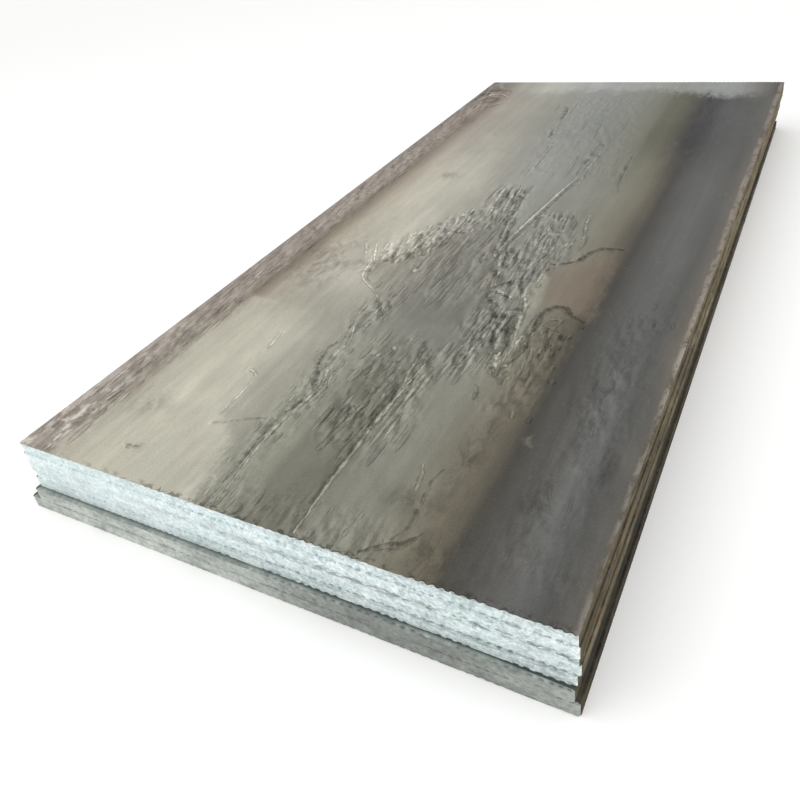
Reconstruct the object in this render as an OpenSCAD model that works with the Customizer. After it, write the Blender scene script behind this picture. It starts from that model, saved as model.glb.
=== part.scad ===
// A stack of flat hot-rolled steel plates lying on the ground: five plates with freshly cut ends
// on two thicker, scale-covered ones, the bottom one wider than the rest. Each plate is loose and
// is its own piece.
// X across the plates, Y along the rolling direction with the near ends at -Y, Z up.
// Origin at the bottom centre of the stack. Millimetres.

/* [Plates] */
// Width of every plate but the bottom one, across the rolling direction
plate_width = 1500; // [1000:10:2500]
// Length of every plate, along the rolling direction
plate_length = 3300; // [2000:50:6000]
// Width of the bottom plate, whose long edges are left as rolled
bottom_width = 1540; // [1000:10:2600]

/* [Thickness] */
// Thickness of each of the five upper plates
upper_thickness = 30; // [8:1:60]
// Thickness of each of the two lower plates
lower_thickness = 35; // [8:1:80]

/* [Lay] */
// How far the near ends of the lower plates stand out past the upper ones
ledge = 16; // [0:1:60]
// How untidily the plates lie on each other: 1 as found, 0 dead square
stagger = 1; // [0:0.1:2]

/* [Edges] */
// Worn flat along every edge and down every corner
arris = 1.5; // [0.5:0.5:5]

/* [Hidden] */
upper_count = 5;
lower_count = 2;

// Shift across, shift along and turn in degrees of each plate, from the top of the stack down
upper_lay = [[0, 0, 0], [2, -4, 0.05], [-2, -2, 0.10], [-1, 2, 0.16], [-6, -1, 0.12]];
lower_lay = [[-10, 0, 0.22], [-21, -1, 0.27]];
lower_widths = [plate_width, bottom_width];

function stepOf(lay) = [lay[0] * stagger, lay[1] * stagger, lay[2] * stagger];
function lowerStep(i) = stepOf(lower_lay[i]) + [0, -ledge, 0];

// Half the room a turned plate takes up across and along
function halfX(w, t) = w / 2 * cos(t) + (plate_length / 2 - arris) * abs(sin(t));
function halfY(w, t) = plate_length / 2 * cos(t) + (w / 2 - arris) * abs(sin(t));

function reachX(s) = concat(
  [for (i = [0 : upper_count - 1]) let (p = stepOf(upper_lay[i])) s * p[0] + halfX(plate_width, p[2])],
  [for (i = [0 : lower_count - 1]) let (p = lowerStep(i)) s * p[0] + halfX(lower_widths[i], p[2])]);
function reachY(s) = concat(
  [for (i = [0 : upper_count - 1]) let (p = stepOf(upper_lay[i])) s * p[1] + halfY(plate_width, p[2])],
  [for (i = [0 : lower_count - 1]) let (p = lowerStep(i)) s * p[1] + halfY(lower_widths[i], p[2])]);

// Middle of everything, taken off every plate so the stack is centred on the origin
mid_x = (max(reachX(1)) - max(reachX(-1))) / 2;
mid_y = (max(reachY(1)) - max(reachY(-1))) / 2;

lower_height = lower_count * lower_thickness;
stack_height = lower_height + upper_count * upper_thickness;

// Outline of a flat bar section or of the plan of a plate, with its corners taken off
module section(across, deep) {
  x = across / 2;
  y = deep / 2;
  a = arris;
  polygon([[-x + a, -y], [x - a, -y], [x, -y + a], [x, y - a],
           [x - a, y], [-x + a, y], [-x, y - a], [-x, -y + a]]);
}

// One plate standing on z = 0, centred, every edge broken
module plate(width, thickness) {
  translate([0, 0, thickness / 2])
    intersection() {
      rotate([90, 0, 0])
        translate([0, 0, -plate_length / 2 - 1])
          linear_extrude(height = plate_length + 2) section(width, thickness);
      rotate([90, 0, 90])
        translate([0, 0, -width / 2 - 1])
          linear_extrude(height = width + 2) section(plate_length, thickness);
      translate([0, 0, -thickness / 2 - 1])
        linear_extrude(height = thickness + 2) section(width, plate_length);
    }
}

module upperPlate(i) {
  p = stepOf(upper_lay[i]);
  color([0.60, 0.62, 0.60])
    translate([p[0] - mid_x, p[1] - mid_y, stack_height - (i + 1) * upper_thickness])
      rotate([0, 0, p[2]])
        plate(plate_width, upper_thickness);
}

module lowerPlate(i) {
  p = lowerStep(i);
  color([0.42, 0.40, 0.37])
    translate([p[0] - mid_x, p[1] - mid_y, lower_height - (i + 1) * lower_thickness])
      rotate([0, 0, p[2]])
        plate(lower_widths[i], lower_thickness);
}

module upper_plate_1() { upperPlate(0); }
module upper_plate_2() { upperPlate(1); }
module upper_plate_3() { upperPlate(2); }
module upper_plate_4() { upperPlate(3); }
module upper_plate_5() { upperPlate(4); }
module lower_plate_1() { lowerPlate(0); }
module lower_plate_2() { lowerPlate(1); }

upper_plate_1();
upper_plate_2();
upper_plate_3();
upper_plate_4();
upper_plate_5();
lower_plate_1();
lower_plate_2();
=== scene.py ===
import math

import bpy
import numpy as np
from mathutils import Matrix, Vector


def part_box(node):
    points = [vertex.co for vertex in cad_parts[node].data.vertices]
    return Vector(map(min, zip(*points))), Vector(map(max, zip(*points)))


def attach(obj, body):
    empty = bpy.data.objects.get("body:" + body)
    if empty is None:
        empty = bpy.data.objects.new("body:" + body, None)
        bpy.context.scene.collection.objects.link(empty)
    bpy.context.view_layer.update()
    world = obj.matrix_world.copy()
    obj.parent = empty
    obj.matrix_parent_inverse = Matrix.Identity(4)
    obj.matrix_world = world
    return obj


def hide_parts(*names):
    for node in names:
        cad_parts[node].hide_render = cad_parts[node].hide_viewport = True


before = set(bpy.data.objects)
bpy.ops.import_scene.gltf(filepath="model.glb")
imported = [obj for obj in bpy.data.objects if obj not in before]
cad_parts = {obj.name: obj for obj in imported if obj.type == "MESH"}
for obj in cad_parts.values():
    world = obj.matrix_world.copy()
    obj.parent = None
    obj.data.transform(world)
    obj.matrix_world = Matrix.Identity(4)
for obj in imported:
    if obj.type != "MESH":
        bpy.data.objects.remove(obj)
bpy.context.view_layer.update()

mm = 0.001
print("frame loaded,", len(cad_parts), "plates")

# How each plate lies in the stack

upperNames = ["upper_plate_1", "upper_plate_2", "upper_plate_3", "upper_plate_4", "upper_plate_5"]
lowerNames = ["lower_plate_1", "lower_plate_2"]


def vertexPlaces(mesh):
    co = np.empty(len(mesh.vertices) * 3)
    mesh.vertices.foreach_get("co", co)
    return co.reshape(-1, 3)


def lieOf(node):
    # centre, turn and sizes of a plate, read from its CAD faces
    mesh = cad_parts[node].data
    side = max((p for p in mesh.polygons if p.normal.x > 0.99), key=lambda p: p.area)
    turn = math.atan2(side.normal.y, side.normal.x)
    low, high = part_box(node)
    middle = (low + high) / 2
    co = vertexPlaces(mesh)[:, :2] - np.array(middle[:2])
    c, s = math.cos(-turn), math.sin(-turn)
    x = co[:, 0] * c - co[:, 1] * s
    y = co[:, 0] * s + co[:, 1] * c
    return {"turn": turn, "middle": middle, "base": low.z, "thick": high.z - low.z,
            "width": float(np.ptp(x)), "length": float(np.ptp(y))}


def placeOf(lie):
    shift = Matrix.Translation((lie["middle"].x, lie["middle"].y, lie["base"]))
    return shift @ Matrix.Rotation(lie["turn"], 4, "Z")


lies = {name: lieOf(name) for name in upperNames + lowerNames}
topLie = lies["upper_plate_1"]

# Numbers that wander smoothly, and distances to drawn shapes

noiseTable = {"size": 64, "shift": (17.3, 9.1)}


def softNoise(x, y, cell, seed, octaves=3):
    # smooth noise from 0 to 1 with its own table of random heights
    n = noiseTable["size"]
    table = np.random.default_rng(seed).random((n, n))
    total, weight, share = np.zeros(np.shape(x)), 0.0, 1.0
    for octave in range(octaves):
        size = cell / 2 ** octave
        gx = np.asarray(x) / size + noiseTable["shift"][0] * octave
        gy = np.asarray(y) / size + noiseTable["shift"][1] * octave
        ix, iy = np.floor(gx).astype(int), np.floor(gy).astype(int)
        fx, fy = gx - ix, gy - iy
        fx, fy = fx * fx * (3 - 2 * fx), fy * fy * (3 - 2 * fy)
        a, b = table[iy % n, ix % n], table[iy % n, (ix + 1) % n]
        c, d = table[(iy + 1) % n, ix % n], table[(iy + 1) % n, (ix + 1) % n]
        total += share * ((a * (1 - fx) + b * fx) * (1 - fy) + (c * (1 - fx) + d * fx) * fy)
        weight += share
        share *= 0.5
    return total / weight


def smooth(value, low, high):
    t = np.clip((np.asarray(value) - low) / (high - low), 0, 1)
    return t * t * (3 - 2 * t)


def pathDistance(x, y, path):
    # distance from each point to a path of corners
    best = np.full(np.shape(x), 1e9)
    for (ax, ay), (bx, by) in zip(path[:-1], path[1:]):
        dx, dy = bx - ax, by - ay
        t = np.clip(((x - ax) * dx + (y - ay) * dy) / (dx * dx + dy * dy + 1e-12), 0, 1)
        best = np.minimum(best, np.hypot(x - ax - t * dx, y - ay - t * dy))
    return best


def shapeDepth(x, y, shape):
    # how deep inside a closed shape each point lies, negative outside
    inside = np.zeros(np.shape(x), bool)
    for (ax, ay), (bx, by) in zip(shape, shape[1:] + shape[:1]):
        crosses = (ay > y) != (by > y)
        inside ^= crosses & (x < (bx - ax) * (y - ay) / (by - ay + 1e-12) + ax)
    return np.where(inside, 1, -1) * pathDistance(x, y, shape + shape[:1])


# Places on the top plate are shares of its width from the left and of its length from the near end.
skinMarks = {
    "burnt": [(.437, .555), (.45, .49), (.425, .445), (.36, .385), (.29, .36), (.295, .325), (.35, .30),
              (.41, .265), (.50, .25), (.58, .26), (.60, .31), (.595, .36), (.58, .40), (.545, .44),
              (.51, .48), (.485, .555)],
    "pale": [(.095, .255), (.255, .245), (.258, .15), (.302, .14), (.305, .09), (.38, .06), (.42, -.02),
             (.085, -.02)],
    "ruddy": [(.69, .365), (.735, .40), (.795, .42), (.805, .36), (.82, .30), (.77, .31), (.735, .305),
              (.705, .325)],
    "tongue": [(.665, .342), (.680, .366), (.698, .360), (.710, .318), (.714, .288), (.720, .252),
               (.719, .228), (.712, .209), (.694, .214), (.689, .252), (.684, .287), (.674, .317)],
    "blots": [((.072, .900), (.030, .014)), ((.030, .985), (.030, .012))],
    "stains": [((.14, .079), (.055, .016)), ((.212, .031), (.020, .005)), ((.235, .585), (.030, .010)),
               ((.09, .79), (.030, .030)), ((.168, .335), (.085, .065)),
               ((.25, .34), (.05, .02)), ((.725, .055), (.055, .012)), ((.77, .265), (.018, .022)),
               ((.79, .018), (.07, .020)), ((.76, .115), (.025, .060)),
               ((.905, .20), (.030, .070)), ((.885, .085), (.020, .030)), ((.955, .12), (.012, .020))],
}

# Lips of lifted scale: path, half width in mm, and the strength of the painted light and shade across the lip
skinLips = [
    ([(.262, .362), (.277, .35), (.284, .335), (.293, .32), (.31, .31), (.335, .302), (.36, .292),
      (.38, .282), (.40, .27)], 4, 0.7),
    ([(.288, .352), (.292, .335), (.305, .318), (.33, .307)], 5, -0.5),
    ([(.41, .278), (.42, .27), (.425, .255)], 6, -0.7),
    ([(.21, .39), (.232, .375), (.252, .358)], 5, 0.6),
    ([(.245, .387), (.268, .365), (.283, .352)], 5, 0.6),
    ([(.443, .555), (.448, .53), (.447, .505)], 6, -0.8),
    ([(.425, .57), (.43, .54), (.44, .505), (.452, .48)], 6, 0.6),
    ([(.462, .55), (.468, .52), (.475, .50), (.49, .475), (.50, .46)], 6, 0.6),
    ([(.485, .55), (.497, .52), (.503, .495), (.515, .47)], 6, -0.6),
    ([(.455, .497), (.462, .485), (.47, .475)], 9, 0.9),
    ([(.590, .606), (.574, .548), (.562, .495), (.552, .453), (.547, .415), (.546, .399)], 6, 0.95),
    ([(.598, .60), (.583, .548), (.571, .495), (.561, .453), (.556, .42)], 5, -0.7),
    ([(.580, .496), (.575, .463), (.566, .428), (.564, .399)], 4, 0.6),
    ([(.474, .559), (.479, .522), (.495, .489), (.513, .454), (.523, .431)], 5, -0.7),
    ([(.446, .571), (.440, .537), (.439, .510), (.449, .485)], 5, -0.7),
    ([(.012, .885), (.010, .92), (.035, .95), (.08, .955), (.12, .945)], 10, -0.8),
    ([(.03, .895), (.05, .925), (.09, .93), (.135, .912)], 8, 0.9),
    ([(.05, .872), (.095, .868), (.14, .895)], 8, 0.6),
    ([(.528, .45), (.535, .435), (.54, .42), (.545, .405)], 6, -0.9),
    ([(.56, .405), (.568, .397), (.58, .392)], 6, -0.9),
    ([(.515, .47), (.522, .45), (.53, .43), (.54, .40), (.555, .385), (.572, .375), (.583, .36),
      (.592, .345), (.60, .33)], 6, 0.6),
    ([(.57, .39), (.585, .375), (.592, .36), (.602, .345)], 5, -0.6),
    ([(.595, .325), (.607, .334), (.621, .342), (.632, .347)], 7, -1.0),
    ([(.669, .322), (.682, .293), (.687, .264), (.695, .238), (.694, .219)], 9, -0.9),
    ([(.615, .35), (.628, .351), (.638, .350), (.648, .348), (.656, .345)], 6, -0.55),
    ([(.57, .335), (.588, .33), (.60, .32), (.61, .305), (.63, .30), (.65, .295)], 6, -0.75),
    ([(.60, .335), (.615, .325), (.635, .32), (.655, .315)], 7, 0.8),
    ([(.640, .353), (.655, .358), (.670, .366), (.684, .378)], 6, -0.5),
    ([(.68, .385), (.70, .388), (.72, .393), (.735, .402), (.748, .418), (.765, .428), (.79, .43),
      (.81, .43)], 7, -0.95),
    ([(.64, .345), (.66, .325), (.678, .31), (.685, .285), (.692, .265), (.70, .245), (.705, .225)],
     6, -0.9),
    ([(.67, .325), (.688, .305), (.695, .285), (.703, .265), (.71, .25)], 6, 0.7),
    ([(.73, .30), (.733, .28), (.728, .262), (.735, .24), (.728, .22), (.715, .205)], 6, -0.85),
    ([(.722, .295), (.723, .27), (.718, .25), (.722, .235)], 6, 0.7),
    ([(.728, .27), (.729, .29), (.735, .303), (.75, .311), (.765, .310), (.778, .302), (.80, .296),
      (.815, .293)], 8, -1.0),
    ([(.745, .285), (.758, .292), (.77, .29), (.765, .278), (.75, .28)], 6, 0.5),
    ([(.745, .278), (.76, .272), (.775, .272), (.79, .264), (.805, .268)], 6, -0.8),
    ([(.76, .26), (.775, .25), (.785, .235)], 6, -0.4),
    ([(.69, .25), (.693, .23), (.70, .21), (.71, .20), (.722, .198), (.735, .208)], 6, -0.7),
    ([(.70, .24), (.70, .222), (.712, .21), (.722, .213), (.73, .225)], 5, 0.8),
    ([(.675, .30), (.68, .27), (.683, .25), (.688, .22), (.69, .205)], 5, 0.5),
    ([(.66, .29), (.668, .265), (.67, .24)], 5, 0.5),
    ([(.64, .29), (.648, .265), (.65, .24), (.645, .22)], 5, 0.5),
    ([(.695, .185), (.705, .178), (.71, .166)], 5, -0.8),
    ([(.375, .235), (.385, .222), (.39, .21), (.38, .195), (.385, .175), (.395, .163), (.41, .155),
      (.42, .142), (.427, .125), (.415, .105), (.41, .085), (.415, .065), (.42, .045), (.425, .02),
      (.435, .004)], 5, -0.75),
    ([(.385, .235), (.40, .22), (.41, .205), (.405, .19), (.41, .172), (.43, .155), (.435, .14),
      (.43, .115), (.425, .10), (.425, .07), (.43, .05), (.44, .02)], 5, 0.6),
    ([(.435, .17), (.43, .158), (.445, .14), (.44, .12)], 5, -0.4),
    ([(.585, .20), (.582, .157), (.580, .120), (.583, .083), (.585, .049), (.589, .023), (.591, .004)],
     5, 1.0),
    ([(.573, .19), (.571, .15), (.571, .11), (.575, .07), (.579, .03)], 5, -0.35),
    ([(.56, .22), (.565, .20), (.57, .18), (.58, .165)], 4, 0.6),
    ([(.575, .215), (.58, .195), (.578, .18)], 4, -0.5),
    ([(.695, .006), (.712, .012), (.73, .018), (.745, .022), (.757, .03)], 5, -0.8),
    ([(.715, .02), (.735, .014), (.75, .022), (.762, .034)], 3, -0.7),
    ([(.725, .022), (.738, .035), (.735, .055), (.73, .075), (.735, .09)], 3, -0.6),
    ([(.70, .09), (.71, .08), (.715, .065)], 5, 0.5),
    ([(.305, .075), (.33, .080), (.36, .088), (.395, .095)], 3, -0.5),
    ([(.195, .032), (.21, .030), (.225, .033)], 4, -0.5),
    ([(.25, .205), (.257, .19), (.26, .175)], 4, 0.5),
    ([(.262, .145), (.285, .143), (.298, .138)], 4, 0.4),
    ([(.30, .135), (.303, .11), (.305, .085)], 4, 0.35),
    ([(.37, .875), (.385, .85), (.395, .81)], 6, -0.5),
    ([(.40, .765), (.415, .735)], 6, -0.5),
    ([(.575, .72), (.58, .68), (.578, .64), (.583, .61)], 5, -0.45),
    ([(.588, .72), (.598, .69), (.60, .665), (.598, .63), (.605, .60), (.61, .57)], 5, 0.5),
    ([(.69, .68), (.695, .63), (.70, .60), (.71, .57)], 5, -0.4),
    ([(.69, .505), (.695, .48), (.708, .455), (.715, .43)], 5, 0.6),
    ([(.44, .72), (.45, .65), (.455, .60)], 5, 0.3),
    ([(.503, .213), (.509, .208)], 10, 1.0),
    ([(.398, .345), (.402, .339)], 9, 1.0),
    ([(.525, .39), (.528, .375)], 8, 0.6),
    ([(.52, .13), (.53, .12)], 7, 0.6),
    ([(.53, .155), (.537, .148)], 7, 0.6),
    ([(.555, .152), (.561, .145)], 7, 0.5),
]

# Patches of crumpled scale, filled with short strokes: how many, their length, half width and height in mm,
# how far they lean in degrees, their painted light and shade, how rough the patch is, and its outline
def patchOf(*values):
    return dict(zip(("count", "long", "wide", "high", "lean", "tone", "rough", "outline"), values))


crumples = {
    "leftBoundary": patchOf(110, 40, 8, 0.9, 6, 0.6, 1.0, [(.285, .395), (.33, .43), (.40, .49), (.45, .475),
                          (.42, .43), (.39, .385), (.34, .355), (.30, .36)]),
    "tip": patchOf(32, 90, 7, 0.9, 4, 0.55, 0.8, [(.41, .56), (.49, .56), (.53, .46), (.50, .43), (.46, .45),
                 (.43, .49)]),
    "rightStrokes": patchOf(65, 65, 7, 0.9, 4, 0.55, 1.0, [(.585, .50), (.65, .495), (.70, .43), (.72, .40),
                          (.66, .39), (.60, .41)]),
    "centre": patchOf(40, 75, 8, 0.8, 4, 0.45, 0.9, [(.56, .41), (.66, .40), (.68, .35), (.60, .31),
                    (.56, .32)]),
    "inArrow": patchOf(34, 150, 9, 0.5, 1, 0.22, 0.35, [(.42, .44), (.52, .44), (.56, .36), (.56, .29),
                     (.42, .29), (.36, .33)]),
    "tongueLeft": patchOf(42, 80, 7, 0.9, 3, 0.42, 1.0, [(.61, .33), (.68, .33), (.69, .20), (.62, .19),
                        (.60, .26)]),
    "tongueRight": patchOf(28, 45, 9, 0.7, 8, 0.3, 0.6, [(.735, .285), (.80, .29), (.80, .17), (.74, .16)]),
    "tongueEnd": patchOf(14, 40, 5, 1.1, 6, 0.45, 1.0, [(.695, .25), (.735, .25), (.73, .20), (.705, .20)]),
    "nearLeft": patchOf(60, 34, 6, 0.8, 4, 0.42, 0.6, [(.37, .24), (.42, .24), (.455, .12), (.45, .0),
                      (.40, .0), (.40, .10)]),
    "nearMiddle": patchOf(60, 75, 8, 0.8, 1, 0.34, 0.7, [(.46, .23), (.62, .23), (.64, .10), (.60, .06),
                        (.49, .10)]),
    "nearEdge": patchOf(16, 30, 6, 0.7, 5, 0.25, 0.5, [(.44, .03), (.72, .03), (.72, .0), (.44, .0)]),
    "underArrow": patchOf(15, 40, 8, 1.0, 6, 0.5, 0.8, [(.36, .31), (.43, .28), (.43, .24), (.38, .25)]),
    "bubbles": patchOf(22, 15, 8, 1.3, 0, 0.75, 0.0, [(.47, .205), (.57, .235), (.575, .13), (.49, .12)]),
    "arrowBubbles": patchOf(22, 18, 9, 1.2, 0, 0.7, 0.0, [(.30, .36), (.36, .42), (.43, .45), (.43, .40),
                          (.36, .36), (.33, .32)]),
    "darkBand": patchOf(8, 50, 5, 0.08, 3, 0.04, 0.25, [(.86, .33), (.96, .33), (.97, .02), (.87, .03)]),
    "farStreaks": patchOf(10, 260, 5, 0.4, 4, 0.06, 0.2, [(.34, .92), (.62, .92), (.70, .60), (.43, .60)]),
    "leftBorder": patchOf(130, 70, 8, 0.6, 3, 0.3, 0.55, [(.006, .97), (.075, .97), (.085, .004),
                        (.006, .004)]),
}

topSkin = {"depth": 1.9 * mm, "edgeDepth": 0.25 * mm, "rollWave": 0.5 * mm, "rimBlend": 70 * mm,
           "burntStep": 0.2 * mm, "crumple": 0.7 * mm, "gloss": 0.045,
           "reach": {"burnt": 60 * mm, "pale": 40 * mm, "ruddy": 55 * mm, "tongue": 26 * mm},
           "crumpleOut": 60 * mm, "crumpleIn": 45 * mm, "wornReach": 2.2,
           "waveCell": 0.16, "stepCell": 0.05, "grainCell": 0.022}


def onTopPlate(u, v):
    return (u - 0.5) * topLie["width"], (v - 0.5) * topLie["length"]


def spots(x, y, marks, form):
    # round marks that fade out, or rings where the form is nought off their middles
    total = np.zeros(np.shape(x))
    for (cu, cv), (ru, rv) in marks:
        cx, cy = onTopPlate(cu, cv)
        r = np.hypot((x - cx) / (ru * topLie["width"]), (y - cy) / (rv * topLie["length"]))
        total = np.maximum(total, np.exp(-form(r) ** 2))
    return total


def skinFields(x, y):
    # soft fields over the top plate, for its relief and for its colour
    half = topLie["width"] / 2, topLie["length"] / 2
    toPlate = lambda pts: [onTopPlate(*p) for p in pts]
    fields = {}
    for name, reach in topSkin["reach"].items():
        fields[name] = smooth(shapeDepth(x, y, toPlate(skinMarks[name])), -reach, reach)
    crumpled = []
    for patch in crumples.values():
        depth = shapeDepth(x, y, toPlate(patch["outline"]))
        crumpled.append(patch["rough"] * smooth(depth, -topSkin["crumpleOut"], topSkin["crumpleIn"]))
    fields["crumpled"] = np.max(crumpled, axis=0)
    fields["blot"] = spots(x, y, skinMarks["blots"], lambda r: (r - 0.85) / 0.35)
    fields["stain"] = spots(x, y, skinMarks["stains"], lambda r: r)
    near = np.full(np.shape(x), 1e9)
    for path, wide, tone in skinLips:
        near = np.minimum(near, pathDistance(x, y, toPlate(path)) / (wide * mm))
    # nearness to the lips, over which the painted light and shade of the crumpled flanks spreads
    fields["worn"] = np.exp(-(near / topSkin["wornReach"]) ** 2)
    edge = np.minimum(half[0] - np.abs(x), half[1] - np.abs(y))
    wave = softNoise(x, y / 5, topSkin["waveCell"], 3, 2)
    step = smooth(softNoise(x, y / 2, topSkin["stepCell"], 5, 3), 0.35, 0.65)
    sink = topSkin["depth"] - topSkin["rollWave"] * wave
    rough = softNoise(x, y / 1.6, topSkin["grainCell"], 6, 2) - 0.5
    sink = sink + topSkin["burntStep"] * fields["burnt"] * step
    sink = sink + topSkin["crumple"] * fields["crumpled"] * rough
    blend = smooth(edge, 0, topSkin["rimBlend"])
    fields["sink"] = topSkin["edgeDepth"] + (sink - topSkin["edgeDepth"]) * blend
    return fields


# Short ways to build node trees

def srgb(*levels):
    # a colour given in levels of 255, as linear light
    light = [c / 255 / 12.92 if c <= 10 else ((c / 255 + 0.055) / 1.055) ** 2.4 for c in levels]
    return tuple(light) + (1.0,)


class NodeTools:
    # short ways to add nodes to a tree

    def add(self, kind, given=None, **settings):
        node = self.tree.nodes.new(kind)
        for key, value in settings.items():
            setattr(node, key, value)
        for key, value in (given or {}).items():
            self.feed(node.inputs[key], value)
        return node

    def feed(self, socket, value):
        if isinstance(value, bpy.types.NodeSocket):
            self.tree.links.new(value, socket)
        else:
            socket.default_value = value

    def math(self, operation, a, b=0.0, c=0.0):
        node = self.add("ShaderNodeMath", operation=operation)
        for socket, value in zip(node.inputs, (a, b, c)):
            self.feed(socket, value)
        return node.outputs[0]

    def times(self, a, b):
        return self.math("MULTIPLY", a, b)

    def plus(self, a, b):
        return self.math("ADD", a, b)


class Shader(NodeTools):
    # one material

    def __init__(self, name):
        self.material = bpy.data.materials.new(name)
        self.material.use_nodes = True
        self.tree = self.material.node_tree
        self.surface = self.tree.nodes["Principled BSDF"]
        self.place = self.add("ShaderNodeTexCoord").outputs["Object"]

    def mapped(self, scale, shift=(0, 0, 0), lean=0.0):
        place = self.place
        if lean:
            given = {"Vector": place, "Rotation": (0, 0, -math.radians(lean))}
            place = self.add("ShaderNodeMapping", given).outputs[0]
        return self.add("ShaderNodeMapping", {"Vector": place, "Scale": scale, "Location": shift}).outputs[0]

    def noise(self, scale, detail=4, rough=0.55, warp=0.0, stretch=(1, 1, 1), shift=(0, 0, 0), lean=0.0):
        given = {"Vector": self.mapped(stretch, shift, lean), "Scale": scale, "Detail": detail,
                 "Roughness": rough, "Distortion": warp}
        return self.add("ShaderNodeTexNoise", given).outputs["Fac"]

    def cells(self, scale, stretch=(1, 1, 1), lean=0.0):
        given = {"Vector": self.mapped(stretch, lean=lean), "Scale": scale}
        return self.add("ShaderNodeTexVoronoi", given).outputs["Distance"]

    def relief(self, scale, step, detail=6, rough=0.68, warp=0.3, stretch=(1, 1, 1), lean=0.0):
        # a crumpled height, and how much it rises towards the right, which is used for a painted highlight
        # and painted shade on the flanks
        here = self.noise(scale, detail, rough, warp, stretch, lean=lean)
        aside = (step * stretch[0] / scale, step / scale * 0.5, 0)
        there = self.noise(scale, detail, rough, warp, stretch, aside, lean)
        return here, self.math("SUBTRACT", there, here)

    def spread(self, value, low, high, to=(0.0, 1.0), curve="SMOOTHSTEP"):
        node = self.add("ShaderNodeMapRange", interpolation_type=curve)
        for socket, given in zip(node.inputs, (value, low, high) + tuple(to)):
            self.feed(socket, given)
        return node.outputs[0]

    def even(self, value, low, high, to=(0.0, 1.0)):
        return self.spread(value, low, high, to, "LINEAR")

    def ramp(self, value, stops):
        node = self.add("ShaderNodeValToRGB")
        points = node.color_ramp.elements
        while len(points) < len(stops):
            points.new(0.5)
        for point, (at, colour) in zip(points, stops):
            point.position = at
        for point, (at, colour) in zip(points, stops):
            point.color = srgb(*colour)
        self.feed(node.inputs["Fac"], value)
        return node.outputs["Color"]

    def greys(self, value, stops):
        return self.ramp(value, [(at, (tone, tone, tone)) for at, tone in stops])

    def mix(self, share, a, b, blend="MIX"):
        node = self.add("ShaderNodeMix", data_type="RGBA", blend_type=blend)
        for index, value in ((0, share), (6, a), (7, b)):
            self.feed(node.inputs[index], value)
        return node.outputs[2]

    def shade(self, colour, factor):
        # colour times a grey factor
        node = self.add("ShaderNodeVectorMath", operation="SCALE")
        self.feed(node.inputs[0], colour)
        self.feed(node.inputs["Scale"], factor)
        return node.outputs[0]

    def field(self, name):
        return self.add("ShaderNodeAttribute", attribute_name=name).outputs["Fac"]

    def bump(self, height, strength, distance, under=None):
        node = self.add("ShaderNodeBump")
        self.feed(node.inputs["Height"], height)
        node.inputs["Strength"].default_value = strength
        node.inputs["Distance"].default_value = distance
        if under is not None:
            self.feed(node.inputs["Normal"], under)
        return node.outputs[0]

    def underGloss(self, colour, lightLift):
        # takes off what the gloss of the sky adds back to a colour
        given = {0: colour, 1: (lightLift, lightLift, lightLift)}
        return self.add("ShaderNodeVectorMath", given, operation="SUBTRACT").outputs[0]

    def finish(self, colour, rough, metal=0.0, normal=None, shine=0.5):
        self.feed(self.surface.inputs["Base Color"], colour)
        self.feed(self.surface.inputs["Roughness"], rough)
        self.feed(self.surface.inputs["Metallic"], metal)
        if normal is not None:
            self.feed(self.surface.inputs["Normal"], normal)
        self.surface.inputs["Specular IOR Level"].default_value = shine
        return self.material


# Finishes of the steel

topSkinLook = {
    "mid": [(.0, (146, 136, 128)), (.05, (153, 145, 135)), (.085, (121, 113, 99)), (.115, (156, 147, 133)),
            (.14, (175, 168, 153)), (.20, (184, 180, 166)), (.28, (184, 181, 168)), (.33, (176, 173, 160)),
            (.40, (158, 156, 147)), (.48, (150, 151, 143)), (.58, (140, 140, 133)), (.68, (131, 130, 121)),
            (.73, (129, 127, 114)), (.77, (119, 115, 101)), (.80, (95, 91, 81)), (.83, (76, 74, 70)),
            (.87, (91, 91, 89)), (.92, (100, 100, 98)), (.96, (90, 90, 88)), (1.0, (110, 105, 97))],
    "far": [(.0, (130, 122, 114)), (.05, (148, 137, 127)), (.09, (132, 120, 108)), (.14, (160, 153, 143)),
            (.27, (156, 154, 143)), (.36, (145, 144, 136)), (.45, (139, 140, 136)), (.53, (132, 134, 128)),
            (.62, (125, 126, 117)), (.69, (112, 111, 99)), (.70, (98, 97, 82)), (.745, (91, 90, 75)),
            (.765, (80, 78, 67)),
            (.80, (58, 57, 55)), (.83, (60, 60, 60)), (.87, (77, 77, 77)), (.92, (84, 84, 83)),
            (.96, (86, 86, 83)), (1.0, (100, 96, 90))],
    "near": [(.0, (160, 152, 143)), (.05, (146, 139, 129)), (.09, (146, 139, 126)), (.13, (158, 152, 139)),
             (.20, (178, 175, 160)), (.27, (173, 171, 157)), (.34, (158, 156, 144)), (.42, (142, 142, 130)),
             (.475, (137, 137, 125)), (.495, (119, 119, 108)), (.58, (114, 114, 103)),
             (.605, (129, 129, 119)), (.67, (134, 134, 123)), (.72, (130, 128, 116)),
             (.76, (122, 118, 105)), (.795, (109, 104, 92)), (.825, (83, 81, 76)), (.87, (91, 90, 87)),
             (.92, (107, 107, 105)), (.96, (93, 93, 91)), (1.0, (100, 98, 93))],
    "farRim": [(.0, (108, 105, 95)), (.08, (128, 126, 115)), (.13, (163, 161, 150)), (.25, (178, 179, 171)),
               (.43, (168, 169, 166)), (.60, (158, 157, 153)), (.70, (150, 151, 145)), (.80, (152, 156, 153)),
               (.88, (148, 150, 147)), (.95, (112, 110, 104)), (1.0, (66, 63, 57))],
    "rubbed": (190, 187, 172), "burnt": (110, 105, 95), "ruddy": (128, 114, 101), "tongue": (163, 163, 149),
    "blot": (84, 80, 74), "fleck": (196, 188, 182), "rust": (110, 97, 86), "shard": (218, 212, 203),
    "crustDark": (96, 86, 73), "crustPale": (158, 149, 140), "dentShade": (62, 62, 56),
}


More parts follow.
